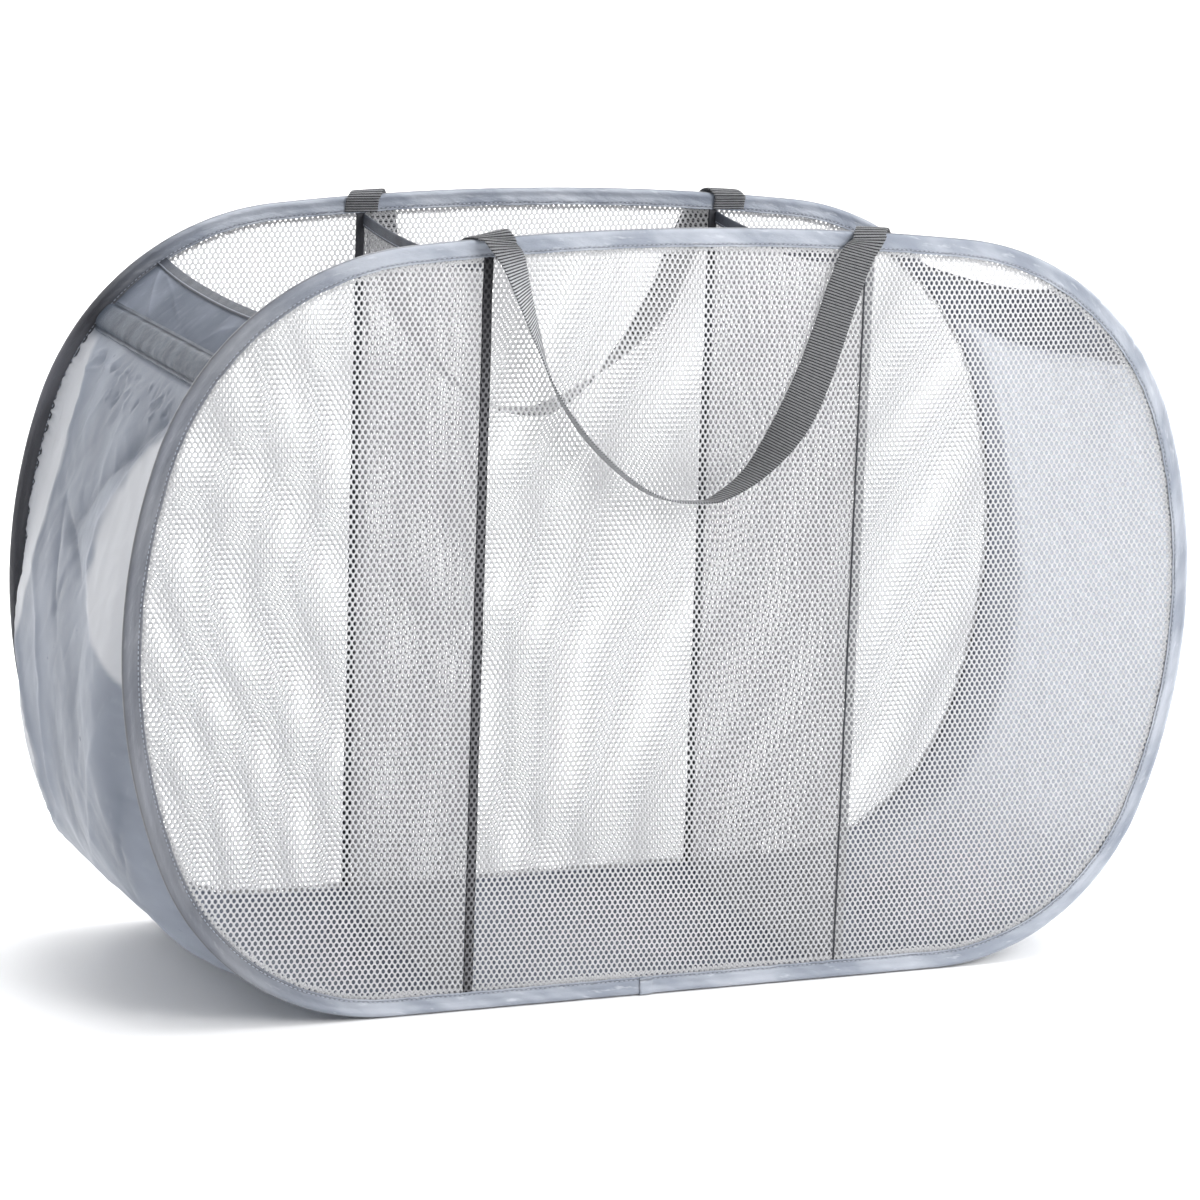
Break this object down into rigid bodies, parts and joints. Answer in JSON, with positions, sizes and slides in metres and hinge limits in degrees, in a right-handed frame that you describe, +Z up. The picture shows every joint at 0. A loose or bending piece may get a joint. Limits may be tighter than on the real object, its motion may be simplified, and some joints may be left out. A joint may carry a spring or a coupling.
{
  "type": "pop up laundry hamper",
  "caption": "Wide pop up laundry hamper with mesh faces on sprung wire loops, mesh dividers, a taffeta floor and ends, and webbing carrying handles.",
  "frame": {"origin": "middle of the footprint, on the surface that the hamper stands on", "axes": "+X to the right along the width, seen from the front face; +Y towards the back face; +Z up"},
  "size_m": [0.8102, 0.3352, 0.535],
  "materials": {
    "binding": "silver grey woven polyester tape with a soft sheen",
    "taffeta": "thin crinkled silver grey taffeta, slightly see-through",
    "hem": "folded grey hem tape",
    "sleeve": "slate grey sewn pocket with a soft sheen",
    "mesh": "white knitted polyester net with small oval holes",
    "webbing": "dark grey flat woven polyester webbing",
    "tape": "grey folded seam tape",
    "wire": "tempered round spring steel",
    "stiffener": "thin flexible plastic"
  },
  "bodies": {
    "bag": {"back_wire": "wire", "back_ferrule": "wire", "back_binding": "binding", "back_mesh": "mesh", "back_handle_left_tab": "webbing", "back_handle_right_tab": "webbing", "back_left_seam_tape": "tape", "back_right_seam_tape": "tape", "taffeta_strip": "taffeta", "left_mouth_hem": "hem", "left_sleeve": "sleeve", "left_stiffener": "stiffener", "left_divider": "mesh", "left_divider_hem": "hem", "right_mouth_hem": "hem", "right_sleeve": "sleeve", "right_stiffener": "stiffener", "right_divider": "mesh", "right_divider_hem": "hem"},
    "front_face": {"front_wire": "wire", "front_ferrule": "wire", "front_binding": "binding", "front_mesh": "mesh", "front_handle_left_tab": "webbing", "front_handle_right_tab": "webbing", "front_left_seam_tape": "tape", "front_right_seam_tape": "tape"},
    "front_handle": {"front_handle": "webbing"},
    "back_handle": {"back_handle": "webbing"}
  },
  "joints": [
    {"name": "collapse", "type": "slide", "parent": "bag", "child": "front_face", "axis": [0, 1, 0], "range_m": [0, 0.25], "stiffness_N_per_m": 8, "springref_m": -0.15, "deforming": ["taffeta_strip", "left_mouth_hem", "right_mouth_hem", "left_sleeve", "right_sleeve", "left_stiffener", "right_stiffener", "left_divider", "right_divider", "left_divider_hem", "right_divider_hem"]},
    {"name": "front_handle_swing", "type": "hinge", "parent": "front_face", "child": "front_handle", "pos_m": [0, -0.14, 0.52755], "axis": [-1, 0, 0], "range_deg": [0, 170]},
    {"name": "back_handle_swing", "type": "hinge", "parent": "bag", "child": "back_handle", "pos_m": [0, 0.14, 0.52755], "axis": [1, 0, 0], "range_deg": [0, 170]}
  ]
}
